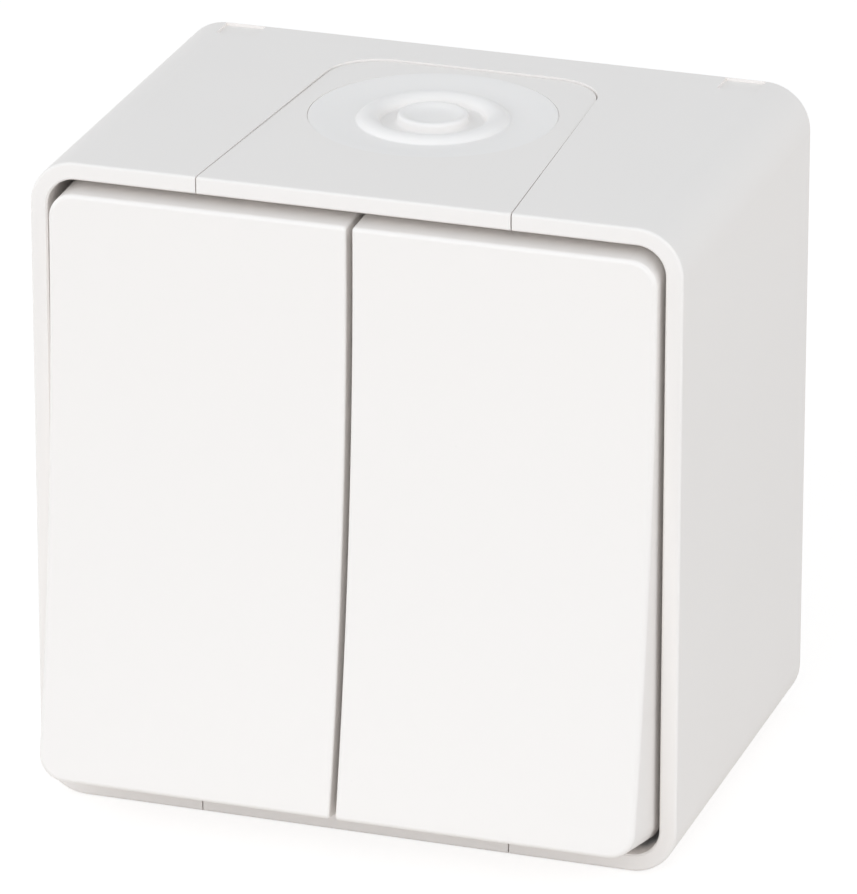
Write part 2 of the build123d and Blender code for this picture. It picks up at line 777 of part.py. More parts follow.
# The right-hand gang as modelled, and the left-hand gang as its mirror image
gang = {
    "rocker": right_rocker,
    "toggle": right_toggle,
    "pivot_pin": right_pivot_pin,
    "plunger": right_plunger,
    "spring": right_spring,
    "contact_bridge": right_contact_bridge,
    "contact_tips": right_contact_tips,
    "common_terminal": right_common_terminal,
    "upper_terminal": right_upper_terminal,
    "lower_terminal": right_lower_terminal,
}
for name, right_hand in gang.items():
    with BuildPart() as left_hand:
        mirror(right_hand.part, about=Plane.YZ)
    export(right_hand.part, f"right_{name}")
    export(left_hand.part, f"left_{name}")
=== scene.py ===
"""The looks of a two-gang surface light switch, laid out as a Blender add-on and run as a script.

Lengths are in metres. The front looks along -Y, Z is up and the wall face lies in the plane Y = 0.
"""
import json
import math

import bpy
from bpy.props import FloatProperty, FloatVectorProperty, IntProperty, PointerProperty
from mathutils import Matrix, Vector


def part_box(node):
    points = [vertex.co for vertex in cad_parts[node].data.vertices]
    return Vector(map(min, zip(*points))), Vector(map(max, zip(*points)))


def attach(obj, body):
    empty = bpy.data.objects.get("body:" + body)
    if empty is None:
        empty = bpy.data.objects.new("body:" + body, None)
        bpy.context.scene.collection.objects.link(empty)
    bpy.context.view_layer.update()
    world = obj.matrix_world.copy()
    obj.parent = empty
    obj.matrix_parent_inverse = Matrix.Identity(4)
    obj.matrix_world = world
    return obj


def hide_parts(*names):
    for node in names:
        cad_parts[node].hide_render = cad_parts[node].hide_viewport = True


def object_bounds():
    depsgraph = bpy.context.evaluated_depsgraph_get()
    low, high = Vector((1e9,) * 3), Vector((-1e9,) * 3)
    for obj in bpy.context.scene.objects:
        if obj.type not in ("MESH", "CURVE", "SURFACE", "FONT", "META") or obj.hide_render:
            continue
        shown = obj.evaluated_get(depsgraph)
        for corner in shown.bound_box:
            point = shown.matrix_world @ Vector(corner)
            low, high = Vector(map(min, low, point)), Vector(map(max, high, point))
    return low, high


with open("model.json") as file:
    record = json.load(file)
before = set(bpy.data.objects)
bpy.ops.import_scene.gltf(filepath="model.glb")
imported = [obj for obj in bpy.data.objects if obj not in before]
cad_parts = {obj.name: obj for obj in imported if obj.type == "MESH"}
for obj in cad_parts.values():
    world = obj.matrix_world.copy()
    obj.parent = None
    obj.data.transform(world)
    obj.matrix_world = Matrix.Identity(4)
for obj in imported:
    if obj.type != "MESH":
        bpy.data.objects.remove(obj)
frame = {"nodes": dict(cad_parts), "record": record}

bl_info = {
    "name": "Two-gang surface light switch",
    "version": (1, 0, 0),
    "blender": (4, 5, 0),
    "location": "View3D > Sidebar > Switch",
    "description": "Soft parts, fine parts, finishes and a studio for a surface light switch",
    "category": "Object",
}

MM = 0.001
X_AXIS, Z_AXIS = 0, 2
CAD_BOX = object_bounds()
HOUSING = "housing_body"
SIDES = ("left", "right")
# The point that the camera and the lamps look at, in the middle of the switch
LOOK_AT = Vector((0.7, -26.0, -0.6)) * MM
SLOT_MATERIALS = {
    "housing_plastic": "Matt moulded ABS",
    "rocker_plastic": "Satin moulded ABS",
    "membrane_rubber": "White elastomer",
    "gasket_rubber": "Black EPDM",
    "plated_steel": "Zinc-plated steel",
    "spring_steel": "Spring steel",
    "base_plastic": "Grey phenolic",
    "cover_plastic": "White polyamide",
    "toggle_plastic": "Natural acetal",
    "terminal_brass": "Rolled brass",
    "contact_silver": "Silver alloy",
}


def linear(hex_colour):
    """The linear colour of an sRGB hex value such as F2F2F0."""
    channels = [int(hex_colour[i:i + 2], 16) / 255 for i in (0, 2, 4)]
    return tuple(c / 12.92 if c <= 0.04045 else ((c + 0.055) / 1.055) ** 2.4 for c in channels)


def colour_property(label, hex_colour, about):
    """A colour that the panel shows, given by its sRGB hex value."""
    return FloatVectorProperty(
        name=label, description=about, default=linear(hex_colour), subtype="COLOR", size=3, min=0, max=1
    )


def length_property(label, millimetres, about):
    """A length that the panel shows, given in millimetres."""
    return FloatProperty(name=label, description=about, default=millimetres * MM, unit="LENGTH", precision=5)


class SwitchFinish(bpy.types.PropertyGroup):
    """Colours of the switch's materials."""

    housing: colour_property("Housing", "F7F2EE", "Matt white of the housing and the entry plates")
    rocker: colour_property("Rockers", "F9F4F0", "Satin white of the rockers")
    membrane: colour_property("Membranes", "F9F5F2", "White of the soft cable seals")
    gasket: colour_property("Gasket", "2A2A2B", "Black of the sealing gasket")
    base: colour_property("Mechanism base", "55585C", "Grey of the moulded contact block")
    cover: colour_property("Mechanism cover", "E6E5DF", "Off-white of the bearing cover and the plungers")
    toggle: colour_property("Toggles", "E9E8E2", "Natural white of the toggles")
    zinc: colour_property("Zinc plate", "C6C8CA", "Bright zinc on the frame, the pins and the screws")
    spring: colour_property("Spring steel", "A9ABAE", "Drawn wire and spring strip")
    brass: colour_property("Brass", "D9B65F", "Brass strip of the terminals")
    silver: colour_property("Silver", "E3E1DB", "Silver alloy of the contact tips")


class MembraneShape(bpy.types.PropertyGroup):
    """Sizes of the soft cable seals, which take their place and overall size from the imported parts."""

    squeeze: length_property("Squeeze", 0.04, "How much the disc is pressed out to its seat")
    rim_drop: length_property("Rim drop", 0.04, "How far the disc's edge lies under the entry plate's face")
    edge_round: length_property("Edge round", 0.1, "Softness of the edges")
    dish_depth: length_property("Dish depth", 0.9, "Depth of the dish inside the bead under the disc's edge")
    web_rise: length_property("Web rise", 0.4, "Height of the web outside the bead over the dish inside it")
    skin: length_property("Skin", 1.0, "Thickness of the skin and of the neck's wall")
    seat_thickness: length_property("Seat thickness", 1.6, "Thickness of the entry plate under the disc")
    neck_inset: length_property("Neck inset", 3.4, "From the disc's edge to the neck")
    lip_lap: length_property("Lip lap", 1.3, "How far the lip reaches behind the plate")
    lip_thickness: length_property("Lip thickness", 0.8, "Thickness of the lip")
    bead_radius: length_property("Bead radius", 7.3, "Radius of the bead's crest")
    bead_width: length_property("Bead width", 2.8, "Width of the bead at its foot")
    bead_height: length_property("Bead height", 1.15, "Height of the bead over the dish")
    nipple_radius: length_property("Nipple radius", 4.0, "Outer radius of the nipple")
    nipple_rim: length_property("Nipple rim", 0.9, "Width of the nipple's rim")
    nipple_height: length_property("Nipple height", 1.2, "Height of the nipple over the dish")
    nipple_dish: length_property("Nipple dish", 0.55, "Depth of the hollow in the nipple's top")
    bead_steps: IntProperty(name="Bead steps", description="Steps over the bead", default=9, min=4, max=32)
    segments: IntProperty(name="Segments", description="Steps round the axis", default=96, min=24, max=256)


class FineParts(bpy.types.PropertyGroup):
    """Sizes of the gasket, the springs and the screws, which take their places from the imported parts."""

    gasket_band: length_property("Gasket band", 3.45, "Width of the gasket's band")
    gasket_corner: length_property("Gasket corner", 3.15, "Radius of the gasket's corners")
    gasket_round: length_property("Gasket round", 0.35, "Rounding of the gasket's section")
    spring_radius: length_property("Spring radius", 1.55, "From the spring's axis to the middle of its wire")
    spring_wire: length_property("Spring wire", 0.5, "Diameter of the spring's wire")
    spring_length: length_property("Spring length", 8.5, "Length of the wound spring between wire middles")
    spring_turns: IntProperty(name="Spring turns", description="Turns of a spring", default=4, min=1, max=20)
    rocker_tilt: FloatProperty(
        name="Rocker tilt", description="Lean of the springs", default=math.radians(5.5), subtype="ANGLE"
    )
    head_height: length_property("Head height", 1.6, "Height of the screw heads")
    slot_width: length_property("Slot width", 0.8, "Width of the screwdriver slots")
    slot_depth: length_property("Slot depth", 0.7, "Depth of the screwdriver slots")


class StudioLight(bpy.types.PropertyGroup):
    """Light and camera of the studio."""

    surround: FloatProperty(
        name="Surround", description="Strength of the even light all round", default=0.45, min=0
    )
    tint: FloatVectorProperty(
        name="Tint",
        description="Daylight that makes slightly warm white plastic look neutral",
        default=(0.956, 1.0, 1.039),
        subtype="COLOR",
        size=3,
        min=0,
    )
    key_power: FloatProperty(
        name="Key", description="Power of the lamp in front of the switch", default=7.8, min=0, unit="POWER"
    )
    side_power: FloatProperty(
        name="Sides", description="Power of the lamp on each side", default=5.15, min=0, unit="POWER"
    )
    side_turn: FloatProperty(
        name="Side turn",
        description="Turn from the key lamp to a side lamp",
        default=math.radians(85),
        subtype="ANGLE",
    )
    lamp_rise: FloatProperty(
        name="Lamp rise", description="Rise of every lamp", default=math.radians(25), subtype="ANGLE"
    )
    lamp_distance: FloatProperty(
        name="Lamp distance", description="From each lamp to the switch", default=1.3, min=0.1, unit="LENGTH"
    )
    lamp_size: FloatProperty(
        name="Lamp size", description="Width of each soft lamp", default=1.2, min=0.1, unit="LENGTH"
    )
    azimuth: FloatProperty(
        name="Azimuth", description="Camera's turn to the right", default=math.radians(18.44), subtype="ANGLE"
    )
    elevation: FloatProperty(
        name="Elevation", description="Camera's rise", default=math.radians(22.14), subtype="ANGLE"
    )
    distance: FloatProperty(
        name="Distance", description="From the camera to the switch", default=0.902, min=0.1, unit="LENGTH"
    )
    floor_colour: colour_property("Floor", "E7E2DE", "Paper of the floor, which looks neutral under the tint")
    floor_glow: FloatProperty(
        name="Floor glow", description="Strength that lifts the floor to white", default=1.32, min=0
    )
    floor_share: FloatProperty(
        name="Floor share", description="Share of the glow in the floor's look", default=0.6, min=0, max=1
    )


# Modelling helpers

def deselect_all():
    """Leave edit mode and deselect every object."""
    if bpy.context.mode != "OBJECT":
        bpy.ops.object.mode_set(mode="OBJECT")
    bpy.ops.object.select_all(action="DESELECT")


def keep_piece(piece, name, body, slot, replaced):
    """Apply a finished piece's place, give it its slot's finish, and let it ride for the parts it shows."""
    deselect_all()
    bpy.context.view_layer.objects.active = piece
    piece.select_set(True)
    bpy.ops.object.transform_apply(location=True, rotation=True, scale=True)
    piece.name = name
    piece.data.name = name
    piece.data.materials.clear()
    piece.data.materials.append(bpy.data.materials[SLOT_MATERIALS[slot]])
    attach(piece, body)
    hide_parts(*replaced)


def turn_on_lathe(outline, segments):
    """A closed turned shape on the Z axis: a disc drawn out ring by ring along (radius, height) pairs."""
    deselect_all()
    radius, height = outline[0]
    bpy.ops.mesh.primitive_circle_add(
        vertices=segments, radius=radius, fill_type="NGON", location=(0, 0, height)
    )
    piece = bpy.context.object
    bpy.ops.object.transform_apply(location=True, rotation=True, scale=True)
    bpy.ops.object.mode_set(mode="EDIT")
    bpy.ops.mesh.select_all(action="SELECT")
    for next_radius, next_height in outline[1:]:
        bpy.ops.mesh.extrude_region_move(TRANSFORM_OT_translate={"value": (0, 0, next_height - height)})
        share = next_radius / radius
        bpy.ops.transform.resize(value=(share, share, 1), center_override=(0, 0, 0))
        radius, height = next_radius, next_height
    face_outwards()
    return piece


def face_outwards():
    """Turn all faces of the mesh in edit mode outwards and leave edit mode."""
    bpy.ops.mesh.select_all(action="SELECT")
    bpy.ops.mesh.normals_make_consistent(inside=False)
    bpy.ops.object.mode_set(mode="OBJECT")


def wind(profile, pitch, turns, steps):
    """Wind a closed profile round the Z axis into a helix, and close its two ends."""
    apply_modifier(
        profile,
        "SCREW",
        axis="Z",
        angle=math.tau,
        screw_offset=pitch,
        iterations=turns,
        steps=steps,
        render_steps=steps,
        use_smooth_shade=True,
    )
    bpy.ops.object.mode_set(mode="EDIT")
    bpy.ops.mesh.select_all(action="SELECT")
    bpy.ops.mesh.fill_holes(sides=0)
    face_outwards()


def join_pieces(pieces):
    """Join objects into the first one."""
    deselect_all()
    for piece in pieces:
        piece.select_set(True)
    bpy.context.view_layer.objects.active = pieces[0]
    bpy.ops.object.join()
    return pieces[0]


def combine(piece, tool, operation):
    """Join a tool's volume to a piece or cut it out, and remove the tool."""
    apply_modifier(piece, "BOOLEAN", operation=operation, object=tool, solver="EXACT")
    bpy.data.objects.remove(tool)


def apply_modifier(piece, kind, **settings):
    """Add a modifier with its settings and apply it."""
    deselect_all()
    bpy.context.view_layer.objects.active = piece
    piece.select_set(True)
    modifier = piece.modifiers.new(kind.title(), kind)
    for name, value in settings.items():
        setattr(modifier, name, value)
    bpy.ops.object.modifier_apply(modifier=modifier.name)


def smooth(piece, degrees):
    """Smooth shading, with edges kept sharp over an angle."""
    deselect_all()
    bpy.context.view_layer.objects.active = piece
    piece.select_set(True)
    bpy.ops.object.shade_smooth_by_angle(angle=math.radians(degrees))


# Materials

def add_node(tree, kind, inputs=None, **settings):
    """A node with its settings; each input is a value or the output socket that feeds it."""
    made = tree.nodes.new(kind)
    for name, value in settings.items():
        setattr(made, name, value)
    for socket, value in (inputs or {}).items():
        if isinstance(value, bpy.types.NodeSocket):
            tree.links.new(value, made.inputs[socket])
        else:
            made.inputs[socket].default_value = value
    return made


def start_material(name):
    """The empty node tree of a new material, and its object coordinates."""
    material = bpy.data.materials.get(name) or bpy.data.materials.new(name)
    material.use_nodes = True
    tree = material.node_tree
    tree.nodes.clear()
    place = add_node(tree, "ShaderNodeTexCoord").outputs["Object"]
    return tree, place


def finish_material(tree, shader):
    """Send a shader to the material's output."""
    add_node(tree, "ShaderNodeOutputMaterial", {"Surface": shader.outputs[0]})


def per_length(millimetres):
    """The texture scale whose pattern repeats about once in a length."""
    return 1 / (millimetres * MM)


def moulded_abs(name, colour, grain_mm, relief_mm, roughness, specks):
    """ABS from a steel mould: an opaque white body.

    An eroded mould leaves a fine grain that spreads the highlights. The real grain is about 0.05 mm and is
    drawn coarser, so that it shows. A few faint specks and a slow drift of gloss keep large faces from
    looking printed.
    """
    drift_mm = 18.0
    drift_of_gloss = 0.04
    speck_spacing_mm = 9.0
    speck_colour = linear("8C8780")
    tree, place = start_material(name)
    grain = add_node(
        tree,
        "ShaderNodeTexNoise",
        {"Vector": place, "Scale": per_length(grain_mm), "Detail": 3.0, "Roughness": 0.6},
    )
    drift = add_node(
        tree, "ShaderNodeTexNoise", {"Vector": place, "Scale": per_length(drift_mm), "Detail": 2.0}
    )
    cells = add_node(
        tree, "ShaderNodeTexVoronoi", {"Vector": place, "Scale": per_length(speck_spacing_mm)}
    )
    speck = add_node(
        tree,
        "ShaderNodeMapRange",
        {
            "Value": cells.outputs["Distance"],
            "From Min": 0.008,
            "From Max": 0.016,
            "To Min": specks,
            "To Max": 0.0,
        },
    )
    tint = add_node(
        tree,
        "ShaderNodeMix",
        {0: speck.outputs[0], 6: (*colour, 1), 7: (*speck_colour, 1)},
        data_type="RGBA",
    )
    gloss = add_node(
        tree,
        "ShaderNodeMapRange",
        {
            "Value": drift.outputs[0],
            "From Min": 0.3,
            "From Max": 0.7,
            "To Min": roughness - drift_of_gloss,
            "To Max": roughness + drift_of_gloss,
        },
    )
    bump = add_node(
        tree,
        "ShaderNodeBump",
        {"Height": grain.outputs[0], "Strength": 0.35, "Distance": relief_mm * MM},
    )
    shader = add_node(
        tree,
        "ShaderNodeBsdfPrincipled",
        {
            "Base Color": tint.outputs[2],
            "Roughness": gloss.outputs[0],
            "Normal": bump.outputs[0],
            "IOR": 1.53,
        },
    )
    finish_material(tree, shader)


def soft_elastomer(name, colour, roughness, depth_mm, weight):
    """Moulded elastomer: waxy and soft. A little light sinks in and rounds off the shadows."""
    haze_mm = 1.6
    haze_relief_mm = 0.02
    haze_of_gloss = 0.06
    tree, place = start_material(name)
    haze = add_node(
        tree, "ShaderNodeTexNoise", {"Vector": place, "Scale": per_length(haze_mm), "Detail": 4.0}
    )
    gloss = add_node(
        tree,
        "ShaderNodeMapRange",
        {
            "Value": haze.outputs[0],
            "From Min": 0.25,
            "From Max": 0.75,
            "To Min": roughness - haze_of_gloss,
            "To Max": roughness + haze_of_gloss,
        },
    )
    bump = add_node(
        tree,
        "ShaderNodeBump",
        {"Height": haze.outputs[0], "Strength": 0.15, "Distance": haze_relief_mm * MM},
    )
    shader = add_node(
        tree,
        "ShaderNodeBsdfPrincipled",
        {
            "Base Color": (*colour, 1),
            "Roughness": gloss.outputs[0],
            "Normal": bump.outputs[0],
            "IOR": 1.48,
            "Subsurface Weight": weight,
            "Subsurface Radius": (1.0, 0.85, 0.7),
            "Subsurface Scale": depth_mm * MM,
        },
    )
    finish_material(tree, shader)


def moulded_insulator(name, colour, fleck_mm, roughness):
    """Filled insulating plastic such as polyamide or phenolic: dull, with a slight cloud from its filler."""
    cloud_relief_mm = 0.02
    dark = [c * 0.9 for c in colour]
    light = [min(1, c * 1.1) for c in colour]
    tree, place = start_material(name)
    cloud = add_node(
        tree,
        "ShaderNodeTexNoise",
        {"Vector": place, "Scale": per_length(fleck_mm), "Detail": 5.0, "Roughness": 0.7},
    )
    shade = add_node(
        tree,
        "ShaderNodeMix",
        {0: cloud.outputs[0], 6: (*dark, 1), 7: (*light, 1)},
        data_type="RGBA",
    )
    bump = add_node(
        tree,
        "ShaderNodeBump",
        {"Height": cloud.outputs[0], "Strength": 0.3, "Distance": cloud_relief_mm * MM},
    )
    shader = add_node(
        tree,
        "ShaderNodeBsdfPrincipled",
        {
            "Base Color": shade.outputs[2],
            "Roughness": roughness,
            "Normal": bump.outputs[0],
            "IOR": 1.55,
        },
    )
    finish_material(tree, shader)


def drawn_metal(name, colour, line_mm, roughness):
    """Rolled, drawn or plated metal: bright, with fine lines along its length and an uneven sheen."""
    line_relief_mm = 0.01
    stretch = (1.0, 1.0, 0.06)
    dark = [c * 0.86 for c in colour]
    tree, place = start_material(name)
    along = add_node(tree, "ShaderNodeMapping", {"Vector": place, "Scale": stretch})
    lines = add_node(
        tree,
        "ShaderNodeTexNoise",
        {"Vector": along.outputs[0], "Scale": per_length(line_mm), "Detail": 4.0},
    )
    sheen = add_node(
        tree,
        "ShaderNodeMapRange",
        {
            "Value": lines.outputs[0],
            "From Min": 0.3,
            "From Max": 0.7,
            "To Min": roughness - 0.07,
            "To Max": roughness + 0.09,
        },
    )
    tone = add_node(
        tree,
        "ShaderNodeMix",
        {0: lines.outputs[0], 6: (*dark, 1), 7: (*colour, 1)},
        data_type="RGBA",
    )
    bump = add_node(
        tree,
        "ShaderNodeBump",
        {"Height": lines.outputs[0], "Strength": 0.2, "Distance": line_relief_mm * MM},
    )
    shader = add_node(
        tree,
        "ShaderNodeBsdfPrincipled",
        {
            "Base Color": tone.outputs[2],
            "Metallic": 1.0,
            "Roughness": sheen.outputs[0],
            "Normal": bump.outputs[0],
        },
    )
    finish_material(tree, shader)


def make_materials(finish):
    """Make all materials, under the names that SLOT_MATERIALS gives to the record's slots."""
    moulded_abs(
        "Matt moulded ABS", finish.housing, grain_mm=0.22, relief_mm=0.012, roughness=0.60, specks=0.2
    )
    moulded_abs(
        "Satin moulded ABS", finish.rocker, grain_mm=0.30, relief_mm=0.004, roughness=0.42, specks=0.06
    )
    soft_elastomer("White elastomer", finish.membrane, roughness=0.50, depth_mm=0.5, weight=0.03)
    soft_elastomer("Black EPDM", finish.gasket, roughness=0.62, depth_mm=0.3, weight=0.0)
    drawn_metal("Zinc-plated steel", finish.zinc, line_mm=0.4, roughness=0.32)
    drawn_metal("Spring steel", finish.spring, line_mm=0.2, roughness=0.28)
    moulded_insulator("Grey phenolic", finish.base, fleck_mm=0.5, roughness=0.55)
    moulded_insulator("White polyamide", finish.cover, fleck_mm=1.2, roughness=0.48)
    moulded_insulator("Natural acetal", finish.toggle, fleck_mm=2.0, roughness=0.38)
    drawn_metal("Rolled brass", finish.brass, line_mm=0.3, roughness=0.27)
    drawn_metal("Silver alloy", finish.silver, line_mm=0.25, roughness=0.3)


# Operators

class SWITCH_OT_finishes(bpy.types.Operator):
    """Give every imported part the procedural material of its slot"""

    bl_idname = "switch.finishes"
    bl_label = "Finish the moulded and metal parts"

    def execute(self, context):
        make_materials(context.scene.switch_finish)
        for subpart in frame["record"]["subparts"]:
            part = frame["nodes"][subpart["node"]]
            part.data.materials.clear()
            part.data.materials.append(bpy.data.materials[SLOT_MATERIALS[subpart["material_slot"]]])
        return {"FINISHED"}


class SWITCH_OT_membranes(bpy.types.Operator):
    """Turn the soft cable seals with their dished disc, bead and nipple"""

    bl_idname = "switch.membranes"
    bl_label = "Model the cable membranes"

    def outline(self, shape, low, high):
        """The seal's half section from the roof of its inner cavity over its lip and face to the nipple."""
        soft = shape.edge_round
        disc = (high.x - low.x) / 2 + shape.squeeze
        neck = disc - shape.neck_inset
        lip = neck + shape.lip_lap
        bore = neck - shape.skin
        lip_top = low.z + shape.lip_thickness
        disc_floor = lip_top + shape.seat_thickness
        dish = high.z - shape.nipple_height
        web = dish + shape.web_rise
        edge = dish + shape.dish_depth - shape.rim_drop
        fall = edge - web
        roof = dish - shape.skin
        crest = shape.bead_radius
        half_bead = shape.bead_width / 2
        inner_foot = crest - half_bead
        nipple = shape.nipple_radius
        mouth = nipple - shape.nipple_rim
        hollow = high.z - shape.nipple_dish
        steps = shape.bead_steps
        start = math.asin(shape.web_rise / shape.bead_height)
        angles = [start + (math.pi - start) * step / steps for step in range(steps + 1)]
        bead = [(crest + half_bead * math.cos(a), dish + shape.bead_height * math.sin(a)) for a in angles]
        outer_foot = bead[0][0]
        web_width = disc - outer_foot
        return [
            (bore - soft, roof),
            (bore, roof - soft),
            (bore, low.z + soft),
            (bore + soft, low.z),
            (lip - soft, low.z),
            (lip, low.z + soft),
            (lip, lip_top - soft),
            (lip - soft, lip_top),
            (neck + soft, lip_top),
            (neck, lip_top + soft),
            (neck, disc_floor - soft),
            (neck + soft, disc_floor),
            (disc - soft, disc_floor),
            (disc, disc_floor + soft),
            (disc, edge - 2 * soft),
            (disc, edge - 0.5 * soft),
            (disc - 0.5 * soft, edge),
            (disc - 3 * soft, edge),
            (disc - 0.25 * web_width, edge - 0.12 * fall),
            (disc - 0.6 * web_width, web + 0.32 * fall),
            (disc - 0.85 * web_width, web + 0.06 * fall),
            (outer_foot + soft, web),
            *bead,
            (inner_foot - soft, dish),
            (nipple + 2 * soft, dish),
            (nipple, dish + soft),
            (nipple, high.z - 4 * soft),
            (nipple - soft, high.z - 1.2 * soft),
            (nipple - 3.5 * soft, high.z),
            (mouth + 1.5 * soft, high.z - 0.5 * soft),
            (mouth - 3 * soft, hollow + 2.5 * soft),
            (0.7 * mouth, hollow + 0.5 * soft),
            (0.4 * mouth, hollow),
            (0.1 * mouth, hollow),
        ]

    def execute(self, context):
        shape = context.scene.switch_membrane
        low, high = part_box("top_membrane")
        middle = (low + high) / 2
        for end, turn in (("top", 0), ("bottom", math.pi)):
            seal = turn_on_lathe(self.outline(shape, low, high), shape.segments)
            apply_modifier(seal, "SUBSURF", levels=1, render_levels=1)
            seal.rotation_euler.x = turn
            seal.location = (middle.x, middle.y, 0)
            keep_piece(seal, f"{end}_seal", HOUSING, "membrane_rubber", [f"{end}_membrane"])
            smooth(seal, degrees=60)
        return {"FINISHED"}


class SWITCH_OT_gasket(bpy.types.Operator):
    """Model the soft square gasket with its rounded section"""

    bl_idname = "switch.gasket"
    bl_label = "Model the gasket"

    def outline(self, width, height, corner, place):
        """A rounded rectangle of edges, upright across the depth."""
        deselect_all()
        bpy.ops.mesh.primitive_plane_add(size=1, location=place, rotation=(math.pi / 2, 0, 0))
        loop = bpy.context.object
        bpy.ops.object.transform_apply(location=True, rotation=True, scale=True)
        bpy.ops.object.mode_set(mode="EDIT")
        bpy.ops.mesh.select_all(action="SELECT")
        bpy.ops.transform.resize(value=(width, 1, height), center_override=place)
        bpy.ops.mesh.bevel(affect="VERTICES", offset=corner, segments=10)
        bpy.ops.mesh.delete(type="ONLY_FACE")
        bpy.ops.object.mode_set(mode="OBJECT")
        return loop

    def execute(self, context):
        shape = context.scene.switch_fine
        low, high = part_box("sealing_gasket")
        size = high - low
        place = Vector(((low.x + high.x) / 2, high.y, (low.z + high.z) / 2))
        band = 2 * shape.gasket_band
        outer = self.outline(size.x, size.z, shape.gasket_corner, place)
        inner = self.outline(size.x - band, size.z - band, shape.gasket_corner, place)
        ring = join_pieces([outer, inner])
        bpy.ops.object.mode_set(mode="EDIT")
        bpy.ops.mesh.select_all(action="SELECT")
        bpy.ops.mesh.bridge_edge_loops()
        bpy.ops.mesh.extrude_region_move(TRANSFORM_OT_translate={"value": (0, -size.y, 0)})
        face_outwards()
        apply_modifier(
            ring,
            "BEVEL",
            width=shape.gasket_round,
            segments=3,
            limit_method="ANGLE",
            angle_limit=math.radians(60),
        )
        keep_piece(ring, "soft_gasket", HOUSING, "gasket_rubber", ["sealing_gasket"])
        smooth(ring, degrees=40)
        return {"FINISHED"}


class SWITCH_OT_springs(bpy.types.Operator):
    """Wind the round-wire springs behind the plungers"""

    bl_idname = "switch.springs"
    bl_label = "Wind the springs"

    def execute(self, context):
        shape = context.scene.switch_fine
        lean = math.pi / 2 - shape.rocker_tilt
        for side in SIDES:
            low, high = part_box(f"{side}_spring")
            length = shape.spring_length
            deselect_all()
            bpy.ops.mesh.primitive_circle_add(
                vertices=12,
                radius=shape.spring_wire / 2,
                location=(shape.spring_radius, 0, -length / 2),
                rotation=(math.pi / 2, 0, 0),
            )
            coil = bpy.context.object
            bpy.ops.object.transform_apply(location=True, rotation=True, scale=True)
            wind(coil, length / shape.spring_turns, shape.spring_turns, steps=32)
            coil.rotation_euler.x = lean
            coil.location = (low + high) / 2
            keep_piece(coil, f"{side}_coil", f"{side}_rocker_body", "spring_steel", [f"{side}_spring"])
            smooth(coil, degrees=50)
        return {"FINISHED"}


class SWITCH_OT_screws(bpy.types.Operator):
    """Turn the slotted pan-head screws and wind their threads"""

    bl_idname = "switch.screws"
    bl_label = "Turn the screws"

    def screw(self, shape, diameter, head, length):
        """A screw on the Z axis with its seat at the origin and its head upwards."""
        thread = 0.12 * diameter
        core = diameter / 2 - thread
        soft = 0.1 * head
        rise = shape.head_height
        piece = turn_on_lathe(
            [
                (0.3 * core, -length),
                (core, -length + diameter / 2),
                (core, 0),
                (head - soft, 0),
                (head, soft),
                (head, 0.45 * rise),
                (0.95 * head, 0.68 * rise),
                (0.82 * head, 0.85 * rise),
                (0.6 * head, 0.96 * rise),
                (0.3 * head, rise),
                (0.08 * head, rise),
            ],
            segments=48,
        )
        bpy.ops.mesh.primitive_cube_add(size=1, location=(0, 0, rise))
        slot = bpy.context.object
        slot.scale = (3 * head, shape.slot_width, 2 * shape.slot_depth)
        bpy.ops.object.transform_apply(location=True, rotation=True, scale=True)
        combine(piece, slot, "DIFFERENCE")
        deselect_all()
        pitch = 0.36 * diameter
        turns = int((length - 1.3 * diameter) / pitch)
        bpy.ops.mesh.primitive_circle_add(
            vertices=4,
            radius=thread,
            location=(core, 0, -length + 0.7 * diameter),
            rotation=(math.pi / 2, 0, 0),
        )
        ridge = bpy.context.object
        bpy.ops.object.transform_apply(location=True, rotation=True, scale=True)
        wind(ridge, pitch, turns, steps=24)
        combine(piece, ridge, "UNION")
        return piece

    def group(self, shape, node, diameter, length, apart):
        """Two like screws that stand at the ends of their node's box, along one axis."""
        low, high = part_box(node)
        seat = low.y + shape.head_height
        head = (high - low)[2 - apart] / 2
        screws = []
        for end in (low, high):
            place = (low + high) / 2
            place[apart] = end[apart] + (head if end is low else -head)
            place.y = seat
            screw = self.screw(shape, diameter, head, length)
            screw.rotation_euler.x = math.pi / 2
            screw.location = place
            screws.append(screw)
        pair = join_pieces(screws)
        keep_piece(pair, f"threaded_{node}", HOUSING, "plated_steel", [node])
        smooth(pair, degrees=35)

    def execute(self, context):
        shape = context.scene.switch_fine
        self.group(shape, "frame_screws", diameter=2.9 * MM, length=11.0 * MM, apart=X_AXIS)
        self.group(shape, "cover_screws", diameter=2.4 * MM, length=10.0 * MM, apart=Z_AXIS)
        return {"FINISHED"}


